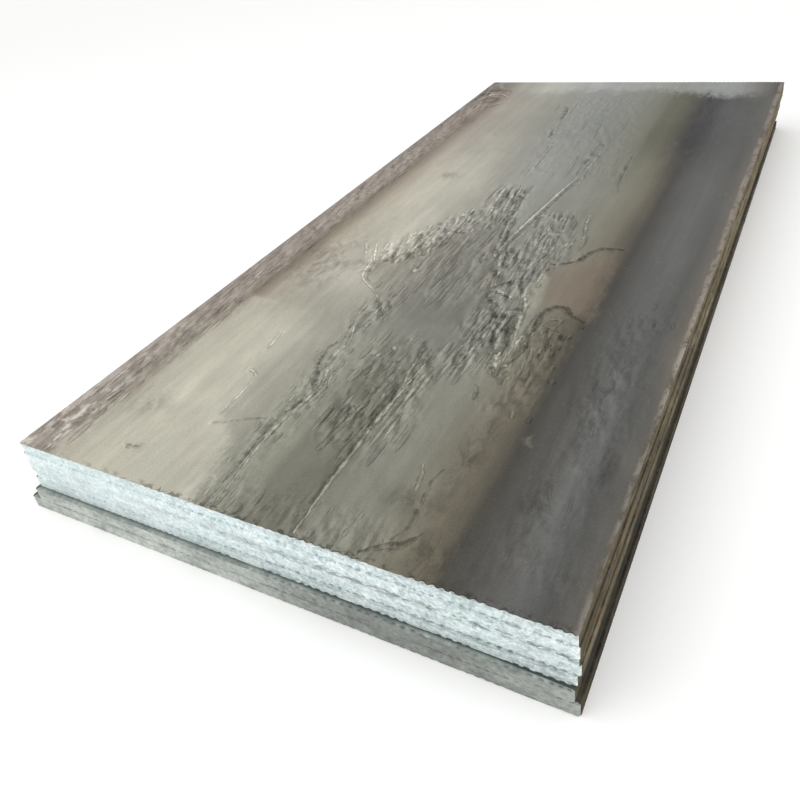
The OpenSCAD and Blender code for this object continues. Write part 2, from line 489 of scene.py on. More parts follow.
# Sizes in metres; a face is rows of points at shares of its thickness, and the top skin a grid that is
# finest from fineFrom to fineTo across and short of coarseFrom along
plateCut = {"corner": 8 * mm, "inner": 6.4 * mm, "border": 14 * mm, "nearPitch": 2.6 * mm,
            "farPitch": 4.5 * mm, "sidePitch": 7 * mm, "bitePitch": 21 * mm,
            "rows": [0.06, 0.2, 0.4, 0.6, 0.8, 0.94],
            "fineFrom": -0.36, "fineTo": 0.47, "fineStep": 0.0062, "coarseStep": 0.011,
            "coarseFrom": 0.30, "alongStep": 0.0085, "coarseAlongStep": 0.017, "plainCap": (7, 13)}

def topSkinFinish():
    s = Shader("topScale")
    width, length = topLie["width"], topLie["length"]
    share = s.add("ShaderNodeSeparateXYZ")
    middle = topLie["middle"]
    shift = (0.5 - middle.x / width, 0.5 - middle.y / length, 0)
    s.feed(share.inputs[0], s.mapped((1 / width, 1 / length, 1), shift))
    exact, along = share.outputs["X"], share.outputs["Y"]
    wander = s.noise(1.6, 5, 0.6, stretch=(1, 0.35, 1))
    across = s.plus(exact, s.even(wander, 0, 1, (-0.022, 0.022)))
    ramp = lambda name: s.ramp(across, topSkinLook[name])
    tone = lambda name: srgb(*topSkinLook[name])
    drift = s.plus(along, s.even(s.noise(2.2, 3), 0, 1, (-0.06, 0.06)))
    colour = s.mix(s.spread(drift, 0.52, 0.80), ramp("mid"), ramp("far"))
    colour = s.mix(s.spread(drift, 0.16, 0.30, (1, 0)), colour, ramp("near"))
    # pale rubbed patch, burnt arrowhead, ruddy spot and stains
    crinkle = s.noise(22, 7, 0.7, 0.7, stretch=(1.3, 0.6, 1), lean=6)
    edgeOf = lambda name, hard: s.spread(
        s.plus(s.field(name), s.even(crinkle, 0, 1, (-0.9, 0.9))), 0.5 - hard, 0.5 + hard)
    colour = s.mix(s.times(edgeOf("pale", 0.3), 0.6), colour, tone("rubbed"))
    grain = s.noise(16, 6, 0.7, 0.3, stretch=(2.4, 0.3, 1), lean=2)
    burnt = s.times(edgeOf("burnt", 0.35), s.even(grain, 0.38, 0.62, (0.3, 1.0)))
    burnt = s.times(burnt, s.spread(drift, 0.22, 0.36, (0.35, 1.0)))
    burnt = s.times(burnt, s.spread(drift, 0.40, 0.50, (1.0, 0.6)))
    colour = s.mix(s.times(burnt, 0.72), colour, tone("burnt"))
    colour = s.mix(s.times(edgeOf("ruddy", 0.45), 0.55), colour, tone("ruddy"))
    colour = s.mix(s.times(s.spread(s.field("tongue"), 0.2, 0.8), 0.5), colour, tone("tongue"))
    colour = s.mix(s.times(s.field("blot"), 0.75), colour, tone("blot"))
    dirtAndShade = s.times(s.field("stain"), s.spread(crinkle, 0.38, 0.66))
    colour = s.mix(s.times(dirtAndShade, 0.8), colour, s.shade(colour, 0.5))
    dip = s.times(s.spread(along, 0.20, 0.25), s.spread(along, 0.275, 0.32, (1, 0)))
    dip = s.times(dip, s.times(s.spread(across, 0.10, 0.18), s.spread(across, 0.72, 0.80, (1, 0))))
    colour = s.shade(colour, s.even(dip, 0, 1, (1.0, 0.84)))
    # the far edge and the two long borders
    ragged = s.plus(drift, s.even(crinkle, 0, 1, (-0.04, 0.04)))
    farShare = s.spread(ragged, 0.93, 0.972, (0, 0.85))
    colour = s.mix(farShare, colour, ramp("farRim"))
    border = s.spread(s.plus(across, s.even(crinkle, 0, 1, (-0.03, 0.03))), 0.065, 0.09, (1, 0))
    flecks = s.spread(s.noise(17, 7, 0.7, 0.5, stretch=(1.5, 0.7, 1), lean=2), 0.50, 0.60)
    colour = s.mix(s.times(s.times(flecks, border), 0.24), colour, tone("fleck"))
    rust = s.spread(s.noise(14, 7, 0.7, 0.5, stretch=(1.5, 0.7, 1), shift=(3, 1, 0), lean=2), 0.50, 0.60)
    colour = s.mix(s.times(s.times(rust, border), 0.3), colour, tone("rust"))
    corner = s.times(s.spread(along, 0.02, 0.16, (1, 0)), s.spread(across, 0.05, 0.09, (1, 0)))
    shards = s.spread(s.noise(20, 6, 0.7, 0.6, stretch=(1.5, 0.8, 1), shift=(7, 2, 0), lean=2), 0.49, 0.59)
    colour = s.mix(s.times(s.times(shards, corner), 0.6), colour, tone("shard"))
    inward = s.plus(exact, s.spread(along, 0.0, 0.6, (-0.006, 0.0)))
    rim = s.spread(s.plus(inward, s.even(crinkle, 0, 1, (-0.006, 0.006))), 0.985, 0.992)
    crust = s.spread(s.noise(26, 7, 0.75, 0.4, stretch=(1, 0.5, 1), shift=(5, 1, 0)), 0.38, 0.56)
    crustShare = s.spread(along, 0.25, 0.55, (1.0, 0.7))
    rim = s.times(rim, s.spread(along, 0.0, 0.35, (0.45, 0.75)))
    colour = s.mix(rim, colour,
                   s.mix(s.times(crust, crustShare), tone("crustDark"), tone("crustPale")))
    # rolling streaks, mottle and fine grain
    streak = s.noise(1, 7, 0.66, 0.1, stretch=(38, 2.0, 1), lean=1)
    mottle = s.noise(9, 7, 0.66, 0.5, stretch=(1.5, 0.5, 1), lean=3)
    clouds = s.noise(3.2, 5, 0.6, 0.4, stretch=(1.6, 0.6, 1), shift=(4, 4, 0))
    speck = s.noise(210, 4, 0.7)
    for pattern, depth in ((streak, 0.09), (mottle, 0.14), (clouds, 0.08), (speck, 0.14)):
        colour = s.shade(colour, s.even(pattern, 0.25, 0.75, (1 - depth, 1 + depth)))
    # crumpled scale: painted highlight and painted shade on its flanks, and painted shade in the pits between
    # them
    crumple, flankLightAndShade = s.relief(42, 0.35, 5, 0.62, 0.3, (1.0, 0.32, 1), 4)
    where = s.plus(s.times(s.field("crumpled"), 0.8), s.times(s.field("worn"), 0.35))
    patchy = s.spread(s.noise(7, 5, 0.6, shift=(9, 3, 0)), 0.36, 0.58)
    where = s.times(where, s.plus(s.times(patchy, 0.7), 0.3))
    lightLift = s.times(s.even(flankLightAndShade, -0.12, 0.12, (-1, 1)), where)
    colour = s.shade(colour, s.even(lightLift, -1, 1, (0.35, 1.65)))
    pitShade = s.times(s.spread(s.cells(55, (1.4, 0.6, 1), 4), 0.34, 0.14), s.times(where, patchy))
    colour = s.mix(s.times(pitShade, 0.4), colour, s.shade(colour, 0.4))
    # painted shade in the near end's dents, with dark chips; painted highlight and shadow across the lips
    chips = s.spread(s.noise(38, 5, 0.7, 0.4), 0.50, 0.58, (0, 0.7))
    dentShade = s.math("MAXIMUM", s.spread(s.field("grimeAndShade"), 0.1, 0.6), chips)
    dentShade = s.times(dentShade, s.spread(along, 0.0025, 0.006, (1, 0)))
    colour = s.mix(s.times(dentShade, s.spread(across, 0.1, 0.45, (0.35, 0.95))), colour, tone("dentShade"))
    # painted highlight and painted shadow across the lips and strokes
    lip = s.field("tone")
    colour = s.shade(colour, s.even(lip, 0.0, 1.0, (1.0, 2.0)))
    colour = s.shade(colour, s.even(lip, 0.0, -1.0, (1.0, 0.30)))
    colour = s.underGloss(colour, topSkin["gloss"])
    rough = s.even(mottle, 0.25, 0.75, (0.46, 0.66))
    rough = s.plus(rough, s.times(s.field("burnt"), 0.08))
    height = s.plus(s.times(streak, 0.5), s.times(speck, 0.4))
    normal = s.bump(height, 0.4, 0.0012)
    normal = s.bump(s.times(crumple, where), 0.7, 0.006, normal)
    return s.finish(colour, rough, 0.15, normal)


# Colours, and how strong a mark is by its height in metres; shades across the ends run from left to right
freshCutLook = {
    "cut": [(.36, (138, 150, 149)), (.44, (186, 198, 199)), (.53, (220, 230, 232)), (.62, (248, 251, 252))],
    "tint": (238, 251, 243), "dashShade": (104, 114, 110), "grimeAndShade": (92, 104, 100),
    # by height: painted shade along the seams between the plates, and how much grime and painted shade shows
    "seamShade": [(.086, 0), (.095, 190), (.103, 110), (.112, 0), (.138, 0), (.150, 255), (.158, 230), (.168, 40),
              (.185, 0), (.202, 0), (.212, 150)],
    "dirtAndShade": [(.172, 255), (.182, 150), (.200, 150), (.208, 255)],
}


def freshCutFinish():
    s = Shader("freshCut")
    drag = s.noise(1, 5, 0.65, 0.2, stretch=(150, 30, 45))
    grain = s.noise(1, 4, 0.7, 0.8, stretch=(70, 70, 90), shift=(2, 0, 5))
    cloud = s.noise(9, 5, 0.6, stretch=(1, 1, 2.5))
    split = s.add("ShaderNodeSeparateXYZ", {0: s.place})
    grainShare = s.spread(split.outputs["X"], -0.6, 0.5, (0.33, 0.55))
    grained = s.math("MULTIPLY_ADD", s.math("SUBTRACT", grain, 0.5), grainShare, 0.325)
    mixed = s.plus(s.times(drag, 0.15), grained)
    colour = s.ramp(s.plus(mixed, s.times(cloud, 0.2)), freshCutLook["cut"])
    tint = s.spread(s.noise(6, 4, 0.6, 0.5, shift=(3, 3, 3)), 0.42, 0.60, (0, 0.35))
    colour = s.mix(tint, colour, s.mix(1.0, colour, srgb(*freshCutLook["tint"]), "MULTIPLY"))
    colour = s.shade(colour, s.spread(split.outputs["Z"], 0.07, 0.2, (0.98, 1.04)))
    colour = s.shade(colour, s.even(split.outputs["X"], -0.7, 0.75, (1.02, 0.95)))
    toRight = s.spread(split.outputs["X"], -0.5, 0.65)
    # painted shade along the seams between the plates, with shaded dashes where the edge bites leave voids,
    # stronger to the right
    seamShade = s.greys(split.outputs["Z"], freshCutLook["seamShade"])
    shadedDashes = s.spread(s.noise(1, 3, 0.6, 0.3, stretch=(34, 20, 110), shift=(5, 1, 2)), 0.46, 0.55)
    shadedDashes = s.times(shadedDashes, s.times(seamShade, s.even(toRight, 0, 1, (0.12, 0.95))))
    colour = s.mix(shadedDashes, colour, srgb(*freshCutLook["dashShade"]))
    colour = s.shade(colour, s.even(seamShade, 0, 1, (1.01, 0.95)))
    # grime and painted shade in the bites and seams of the plate edges
    dirtAndShade = s.times(s.field("grimeAndShade"), s.spread(grain, 0.35, 0.6, (0.9, 0.45)))
    dirtAndShade = s.times(dirtAndShade, s.even(toRight, 0, 1, (0.55, 1.15)))
    dirtAndShade = s.times(dirtAndShade, s.greys(split.outputs["Z"], freshCutLook["dirtAndShade"]))
    colour = s.mix(dirtAndShade, colour, srgb(*freshCutLook["grimeAndShade"]))
    normal = s.bump(s.plus(drag, grain), 0.7, 0.0016)
    return s.finish(colour, s.even(cloud, 0.3, 0.7, (0.36, 0.54)), 0.2, normal)


agedEndLook = {
    "steel": [(.34, (92, 96, 91)), (.44, (138, 143, 138)), (.54, (170, 175, 169)), (.66, (204, 208, 201))],
    "across": [(0, 244), (.15, 250), (.30, 255), (.48, 250), (.60, 208), (.72, 184), (.84, 184), (.93, 210),
               (1, 222)],
    "light": 1.22, "grimeAndShade": (78, 84, 80),
}


def agedEndFinish():
    s = Shader("agedEnd")
    drag = s.noise(1, 5, 0.65, 0.2, stretch=(90, 30, 46))
    grain = s.noise(1, 5, 0.7, 0.6, stretch=(55, 55, 80), shift=(2, 0, 5))
    cloud = s.noise(10, 6, 0.68, 0.3, stretch=(1, 1, 2))
    mixed = s.plus(s.times(drag, 0.15), s.times(grain, 0.4))
    share = s.plus(mixed, s.times(cloud, 0.45))
    colour = s.ramp(share, agedEndLook["steel"])
    split = s.add("ShaderNodeSeparateXYZ", {0: s.place})
    across = s.even(split.outputs["X"], -0.75, 0.77)
    colour = s.mix(1.0, colour, s.greys(across, agedEndLook["across"]), "MULTIPLY")
    colour = s.shade(colour, agedEndLook["light"])
    # grime and painted shade at the bites and seams of the lower plates' ends
    colour = s.mix(s.times(s.field("grimeAndShade"), 0.7), colour, srgb(*agedEndLook["grimeAndShade"]))
    normal = s.bump(s.plus(grain, cloud), 0.8, 0.002)
    return s.finish(colour, s.even(cloud, 0.3, 0.7, (0.5, 0.7)), 0.15, normal)


rolledEdgeLook = {
    "scale": [(.33, (30, 26, 20)), (.44, (66, 58, 45)), (.53, (92, 84, 66)), (.66, (130, 119, 99))],
    "moss": (86, 84, 54), "rust": (112, 82, 60), "grimeAndShade": (44, 38, 30),
}


def rolledEdgeFinish():
    s = Shader("rolledEdge")
    cloud = s.noise(9, 7, 0.72, 0.6, stretch=(1, 0.7, 1.6))
    fine = s.noise(60, 6, 0.75, 0.4, stretch=(1, 0.7, 1.0))
    share = s.plus(s.times(cloud, 0.6), s.times(fine, 0.4))
    colour = s.ramp(share, rolledEdgeLook["scale"])
    moss = s.spread(s.noise(16, 6, 0.7, 0.5, shift=(6, 2, 1)), 0.52, 0.64)
    colour = s.mix(s.times(moss, 0.45), colour, srgb(*rolledEdgeLook["moss"]))
    rust = s.spread(s.noise(22, 7, 0.75, 0.5, shift=(1, 5, 2)), 0.53, 0.66)
    colour = s.mix(s.times(rust, 0.4), colour, srgb(*rolledEdgeLook["rust"]))
    # grime and painted shade along the edges of the long sides
    colour = s.mix(s.times(s.field("grimeAndShade"), 0.25), colour, srgb(*rolledEdgeLook["grimeAndShade"]))
    split = s.add("ShaderNodeSeparateXYZ", {0: s.place})
    # painted shade: darker towards the bottom of the stack
    colour = s.shade(colour, s.spread(split.outputs["Z"], 0.0, 0.10, (0.46, 1.0)))
    colour = s.shade(colour, s.spread(split.outputs["Y"], -1.3, 0.4, (0.97, 1.52)))
    normal = s.bump(s.plus(cloud, s.times(fine, 0.6)), 0.8, 0.004)
    return s.finish(colour, s.even(fine, 0.3, 0.7, (0.75, 0.95)), 0.0, normal, 0.2)


hiddenSkinLook = {
    "scale": [(.32, (104, 111, 107)), (.50, (146, 153, 148)), (.66, (178, 184, 178))],
    "meetingShade": (57, 61, 56),
}


def hiddenSkinFinish():
    # pale where a ledge lies open, with grime and painted shade where the lift above meets it
    s = Shader("millScale")
    cloud = s.noise(14, 6, 0.65, 0.3, stretch=(1.4, 0.5, 1))
    fine = s.noise(120, 4, 0.65)
    share = s.plus(s.times(cloud, 0.7), s.times(fine, 0.3))
    colour = s.ramp(share, hiddenSkinLook["scale"])
    split = s.add("ShaderNodeSeparateXYZ", {0: s.place})
    meetingShade = s.times(s.field("grimeAndShade"), s.spread(split.outputs["X"], -0.1, 0.35, (0.62, 0.92)))
    colour = s.mix(meetingShade, colour, srgb(*hiddenSkinLook["meetingShade"]))
    normal = s.bump(s.plus(cloud, fine), 0.4, 0.0015)
    return s.finish(colour, s.even(cloud, 0.3, 0.7, (0.75, 0.95)), 0.0, normal, 0.2)


finishes = {"topScale": topSkinFinish(), "freshCut": freshCutFinish(), "agedEnd": agedEndFinish(),
            "rolledEdge": rolledEdgeFinish(), "millScale": hiddenSkinFinish()}
print("finishes made")

# Helpers that finish a piece

def storeNumbers(mesh, columns):
    for name, values in columns.items():
        layer = mesh.attributes.get(name) or mesh.attributes.new(name, "FLOAT", "POINT")
        layer.data.foreach_set("value", np.asarray(values, np.float32).ravel())


def addPiece(mesh, name, node=None):
    mesh.name = name
    piece = bpy.data.objects.new(name, mesh)
    bpy.context.scene.collection.objects.link(piece)
    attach(piece, "root")
    if node:
        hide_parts(node)
    print(name, len(mesh.vertices), "vertices", len(mesh.polygons), "faces")
    return piece


# Each plate is one closed shell with worn edges


def outline(width, length, corner, pitches):
    # points round the plan, anticlockwise from the near left corner, with outward directions and sides
    half = width / 2, length / 2
    points, out, sides = [], [], []
    corners = [(-1, -1), (1, -1), (1, 1), (-1, 1)]
    for k, (sx, sy) in enumerate(corners):
        cx, cy = sx * (half[0] - corner), sy * (half[1] - corner)
        start = math.pi + k * math.pi / 2
        for step in range(5):
            angle = start + (step + 0.5) / 5 * math.pi / 2
            out.append((math.cos(angle), math.sin(angle)))
            points.append((cx + corner * out[-1][0], cy + corner * out[-1][1]))
            sides.append(k if step > 2 else (k + 3) % 4)
        nx, ny = corners[(k + 1) % 4]
        ex, ey = nx * (half[0] - corner), ny * (half[1] - corner)
        span = abs(ex - cx) + abs(ey - cy)
        count = max(4, int(span / pitches[k]))
        normal = ((0, -1), (1, 0), (0, 1), (-1, 0))[k]
        for step in range(count + 1):
            t = step / count
            points.append((cx + (ex - cx) * t + corner * normal[0], cy + (ey - cy) * t + corner * normal[1]))
            out.append(normal)
            sides.append(k)
    return np.array(points), np.array(out, float), np.array(sides)


def roundOf(points, half):
    # how far round a rectangle the place nearest to each point is
    x, y = np.clip(points[:, 0], -half[0], half[0]), np.clip(points[:, 1], -half[1], half[1])
    gaps = np.stack([y + half[1], half[0] - x, half[1] - y, x + half[0]])
    side = gaps.argmin(0)
    w, l = 2 * half[0], 2 * half[1]
    turns = np.stack([x + half[0], w + y + half[1], w + l + half[0] - x, 2 * w + l + half[1] - y])
    return turns[side, np.arange(len(x))], 2 * (w + l)


def zipRings(outer, outerAt, inner, innerAt, total, flip):
    # triangles between two rings of vertex numbers
    faces = []
    outerStart, innerStart = int(np.argmin(outerAt)), int(np.argmin(innerAt))
    o = [outer[(outerStart + k) % len(outer)] for k in range(len(outer) + 1)]
    i = [inner[(innerStart + k) % len(inner)] for k in range(len(inner) + 1)]
    oAt = np.append(np.roll(outerAt, -outerStart), total + outerAt[outerStart])
    iAt = np.append(np.roll(innerAt, -innerStart), total + innerAt[innerStart])
    a = b = 0
    while a < len(outer) or b < len(inner):
        if b == len(inner) or (a < len(outer) and oAt[a + 1] <= iAt[b + 1]):
            faces.append((o[a], o[a + 1], i[b]))
            a += 1
        else:
            faces.append((o[a], i[b + 1], i[b]))
            b += 1
    return [f[::-1] for f in faces] if flip else faces


# Wear in mm and cells of its noise in metres; the teeth have leftShare of their depth at the left, and
# rightShare more at the right
edgeWear = {"least": 0.2, "drag": 0.8, "dragCell": 0.006, "sweep": 0.6, "sweepCell": 0.12, "lump": 0.8,
            "lumpCell": 0.03, "toothDrift": 1.5, "driftCell": 0.16, "unevenCell": 0.05, "leftShare": 0.45,
            "rightShare": 0.55, "growHalf": 0.5}


def cutWear(side, run, depthShare, seed, style):
    # how far a face lies back from its true place, in metres
    w = edgeWear
    if style["rough"] == "cut" and side in (0, 2):
        drag = softNoise(run + depthShare * 0.004, depthShare * 0.5, w["dragCell"], seed, 2)
        sweep = softNoise(run, depthShare, w["sweepCell"], seed + 1, 2)
        return (w["least"] + w["drag"] * drag + w["sweep"] * sweep) * mm
    lump = softNoise(run, depthShare * 0.03, w["lumpCell"], seed + 2, 3)
    bulge = 4 * (depthShare - 0.5) ** 2
    return (w["least"] + w["lump"] * lump + style["bulge"] * bulge) * mm


def teeth(run, pitch, seed):
    # little bites along an edge, deeper here and shallower there
    w = edgeWear
    phase = run / pitch + w["toothDrift"] * softNoise(run, run * 0, w["driftCell"], seed, 3)
    bite = np.clip(0.42 + 0.72 * np.cos(2 * np.pi * phase), 0, 1)
    uneven = smooth(softNoise(run, run * 0, w["unevenCell"], seed + 3, 2), 0.15, 0.6)
    return bite * uneven * (w["leftShare"] + w["rightShare"] * smooth(run, -w["growHalf"], w["growHalf"]))


def fineSteps(half):
    # where the lines of the top skin's grid run
    cut = plateCut
    xs = [np.arange(-half[0], cut["fineFrom"], cut["coarseStep"]),
          np.arange(cut["fineFrom"], cut["fineTo"], cut["fineStep"]),
          np.arange(cut["fineTo"], half[0] - 0.006, cut["coarseStep"]), [half[0]]]
    ys = [np.arange(-half[1], cut["coarseFrom"], cut["alongStep"]),
          np.arange(cut["coarseFrom"], half[1] - 0.01, cut["coarseAlongStep"]), [half[1]]]
    return np.concatenate(xs), np.concatenate(ys)


def buildPlate(node, style, seed):
    lie = lies[node]
    width, length, thick = lie["width"], lie["length"], lie["thick"]
    pitches = [plateCut["nearPitch"], plateCut["sidePitch"], plateCut["farPitch"], plateCut["sidePitch"]]
    ring, out, sides = outline(width, length, plateCut["corner"], pitches)
    n = len(ring)
    run = np.where(sides % 2 == 0, ring[:, 0], ring[:, 1])
    isEnd = sides % 2 == 0
    bite = np.where(isEnd, style["bite"], 0.5) * mm
    topTeeth = teeth(run, plateCut["bitePitch"], seed + 10)
    lowTeeth = teeth(run, plateCut["bitePitch"], seed + 20)
    topBite, lowBite = bite * topTeeth, bite * lowTeeth
    lip, rimDip = np.zeros(n), np.zeros(n)
    if style["detailed"]:
        lip = skinFields(*(ring - out * plateCut["inner"]).T)["sink"]
        rimDip += topSkin["edgeDepth"]
    rows = []   # inset from the true face, depth below the top, grime and painted shade
    worn = style["worn"] * mm
    # hidden ledges along the long sides take full painted shade, the others a little in their bites
    ledgeGrimeAndShade = np.where(isEnd | style["detailed"], 0.35 * topTeeth, 1.0)
    rows.append((np.full(n, plateCut["inner"]), lip, ledgeGrimeAndShade))
    rows.append((worn + topBite, rimDip, topTeeth))
    rows.append((0.25 * worn + topBite * 0.2, worn + topBite, 0.15 * topTeeth))
    for t in plateCut["rows"]:
        wear = np.zeros(n)
        for k in range(4):
            at = sides == k
            wear[at] = cutWear(k, run[at], t, seed + 30 + k, style)
        rows.append((wear, np.full(n, thick * t), np.zeros(n)))
    rows.append((0.25 * worn + lowBite * 0.2, thick - worn - lowBite, 0.05 + 0.3 * lowTeeth))
    rows.append((worn + lowBite, np.full(n, thick), 0.2 + 0.8 * lowTeeth))
    rows.append((np.full(n, plateCut["inner"]), np.full(n, thick), np.full(n, 1.0)))
    verts = [np.column_stack([ring - out * r[0][:, None], thick - r[1]]) for r in rows]
    grimeAndShade = [r[2] for r in rows]
    faces, kinds = [], []
    skin, end, side, under = range(4)
    for r in range(len(rows) - 1):
        a, b = r * n, (r + 1) * n
        for k in range(n):
            k2 = (k + 1) % n
            faces.append((a + k, b + k, b + k2, a + k2))
            shown = end if isEnd[k] else side
            ledge = skin if style["detailed"] or (style["skinLedge"] and isEnd[k]) else shown
            kinds.append(ledge if r == 0 else under if r == len(rows) - 2 else shown)
    # caps
    total = len(rows) * n
    for flip, first in ((False, 0), (True, (len(rows) - 1) * n)):
        fine = style["detailed"] and not flip
        half = width / 2 - plateCut["border"], length / 2 - plateCut["border"]
        if fine:
            xs, ys = fineSteps(half)
        else:
            xs, ys = [np.linspace(-h, h, count) for h, count in zip(half, plateCut["plainCap"])]
        gx, gy = np.meshgrid(xs, ys)
        flat = np.column_stack([gx.ravel(), gy.ravel()])
        if fine:
            height = thick - skinFields(flat[:, 0], flat[:, 1])["sink"]
        else:
            height = np.full(len(flat), 0.0 if flip else thick)
        verts.append(np.column_stack([flat, height]))
        # plain caps, where the plates meet one another, take full painted shade
        grimeAndShade.append(np.full(len(flat), 0.0 if fine else 1.0))
        nx, ny = len(xs), len(ys)
        for j in range(ny - 1):
            for i in range(nx - 1):
                q = total + j * nx + i
                quad = (q, q + 1, q + nx + 1, q + nx)
                faces.append(quad[::-1] if flip else quad)
                kinds.append(under if flip else skin)
        edge = [total + i for i in range(nx)]
        edge += [total + j * nx + nx - 1 for j in range(1, ny)]
        edge += [total + (ny - 1) * nx + i for i in range(nx - 2, -1, -1)]
        edge += [total + j * nx for j in range(ny - 2, 0, -1)]
        edgeAt, around = roundOf(flat[np.array(edge) - total], half)
        rim = list(range(first, first + n))
        rimAt, around = roundOf(np.concatenate(verts)[rim][:, :2], half)
        zipped = zipRings(rim, rimAt, edge, edgeAt, around, flip)
        faces += zipped
        kinds += [under if flip else skin] * len(zipped)
        total += len(flat)
    co = np.concatenate(verts)
    fields = skinFields(co[:, 0], co[:, 1]) if style["detailed"] else {}
    fields.pop("sink", None)
    mesh = bpy.data.meshes.new(node)
    mesh.from_pydata(co.tolist(), [], faces)
    mesh.transform(placeOf(lie))
    for slot in style["finishes"]:
        mesh.materials.append(finishes[slot])
    mesh.polygons.foreach_set("material_index", kinds)
    mesh.polygons.foreach_set("use_smooth", [True] * len(faces))
    storeNumbers(mesh, {"grimeAndShade": np.concatenate(grimeAndShade)} | fields)
    mesh.update()
    mesh.set_sharp_from_angle(angle=math.radians(38))
    return mesh


plateStyles = {
    "top": {"detailed": True, "skinLedge": True, "bite": 4.2, "worn": 0.3, "bulge": 0.12, "rough": "cut",
            "finishes": ["topScale", "freshCut", "rolledEdge", "millScale"]},
    "upper": {"detailed": False, "skinLedge": False, "bite": 3.6, "worn": 0.25, "bulge": 0.12, "rough": "cut",
              "finishes": ["millScale", "freshCut", "rolledEdge", "millScale"]},
    "lower": {"detailed": False, "skinLedge": True, "bite": 3.0, "worn": 0.7, "bulge": 0.6, "rough": "rolled",
              "finishes": ["millScale", "agedEnd", "rolledEdge", "millScale"]},
}

for index, node in enumerate(upperNames + lowerNames):
    style = "top" if index == 0 else "upper" if index < len(upperNames) else "lower"
    mesh = buildPlate(node, plateStyles[style], 100 * (index + 1))
    addPiece(mesh, node + "_body", node)
print("plates built")

# Lifted lips and crumpled strokes of the top scale

class Shaper(NodeTools):
    # one Geometry Nodes tree; its inputs are set by their identifiers

    def __init__(self, name, inputs):
        self.tree = bpy.data.node_groups.new(name, "GeometryNodeTree")
        face = self.tree.interface
        face.new_socket("Geometry", in_out="INPUT", socket_type="NodeSocketGeometry")
        self.keys = {}
        for label, kind in inputs.items():
            self.keys[label] = face.new_socket(label, in_out="INPUT", socket_type=kind).identifier
        face.new_socket("Geometry", in_out="OUTPUT", socket_type="NodeSocketGeometry")
        self.given = self.tree.nodes.new("NodeGroupInput").outputs
        self.place = self.add("GeometryNodeInputPosition").outputs[0]

    def named(self, name):
        return self.add("GeometryNodeInputNamedAttribute", {"Name": name}).outputs["Attribute"]

    def store(self, geometry, name, value):
        given = {"Geometry": geometry, "Name": name, "Value": value}
        return self.add("GeometryNodeStoreNamedAttribute", given).outputs[0]

    def wandered(self, geometry, size, reach, seed):
        # moves points sideways by smooth noise
        noise = self.add("ShaderNodeTexNoise", noise_dimensions="4D")
        for key, value in {"Vector": self.place, "W": seed, "Scale": self.math("DIVIDE", 1.0, size),
                           "Detail": 2.0}.items():
            self.feed(noise.inputs[key], value)
        moved = self.add("ShaderNodeVectorMath", {0: noise.outputs["Color"], 1: (0.5, 0.5, 0.5)},
                         operation="SUBTRACT").outputs[0]
        flat = self.add("ShaderNodeVectorMath", {0: moved, 1: (1, 1, 0)}, operation="MULTIPLY").outputs[0]
        offset = self.add("ShaderNodeVectorMath", {0: flat, "Scale": reach}, operation="SCALE").outputs[0]
        return self.add("GeometryNodeSetPosition", {"Geometry": geometry, "Offset": offset}).outputs[0]

    def lipProfile(self):
        # a low ridge across a lip, one unit to each side, with its own sideways place stored
        quad = self.add("GeometryNodeCurvePrimitiveQuadrilateral", mode="POINTS")
        for key, point in (("Point 1", (-1, -0.25, 0)), ("Point 2", (0, 1, 0)), ("Point 3", (1, -0.25, 0)),
                           ("Point 4", (0, -0.6, 0))):
            quad.inputs[key].default_value = point
        across = self.add("ShaderNodeSeparateXYZ", {0: self.place}).outputs["X"]
        return self.store(quad.outputs[0], "side", across)

    def swept(self, curve):
        # a lip along a curve, as wide as its stored swell
        given = {"Curve": curve, "Profile Curve": self.lipProfile(), "Scale": self.named("swell"),
                 "Fill Caps": True}
        return self.add("GeometryNodeCurveToMesh", given).outputs[0]

    def swelling(self, least):
        # full in the middle of a path and thin at its ends
        part = self.add("GeometryNodeSplineParameter").outputs["Factor"]
        arch = self.math("SINE", self.times(part, math.pi))
        return self.math("MAXIMUM", self.math("POWER", arch, 0.5), least)

    def paintLightAndShade(self, geometry, strength):
        # painted highlight up to the crest and painted shadow beyond it, or the other way round
        side = self.named("side")
        fall = self.times(self.math("MAXIMUM", side, 0.0), -1.6)
        rise = self.times(self.math("MINIMUM", side, 0.0), 0.6)
        form = self.plus(1.0, self.plus(fall, rise))
        return self.store(geometry, "tone", self.times(form, strength))

    def close(self, geometry):
        real = self.add("GeometryNodeRealizeInstances", {"Geometry": geometry}).outputs[0]
        given = {"Geometry": real, "Material": self.given["Finish"]}
        done = self.add("GeometryNodeSetMaterial", given).outputs[0]
        self.feed(self.tree.nodes.new("NodeGroupOutput").inputs[0], done)
        return self


def grow(shaper, source, values):
    # runs a tree on a source mesh and gives back the plain mesh it makes
    holder = bpy.data.objects.new(source.name + "Source", source)
    bpy.context.scene.collection.objects.link(holder)
    modifier = holder.modifiers.new("grow", "NODES")
    modifier.node_group = shaper.tree
    for label, value in values.items():
        modifier[shaper.keys[label]] = value
    seen = bpy.context.evaluated_depsgraph_get()
    mesh = bpy.data.meshes.new_from_object(holder.evaluated_get(seen), preserve_all_data_layers=True,
                                           depsgraph=seen)
    holder.modifiers.remove(modifier)
    bpy.data.objects.remove(holder)
    return mesh


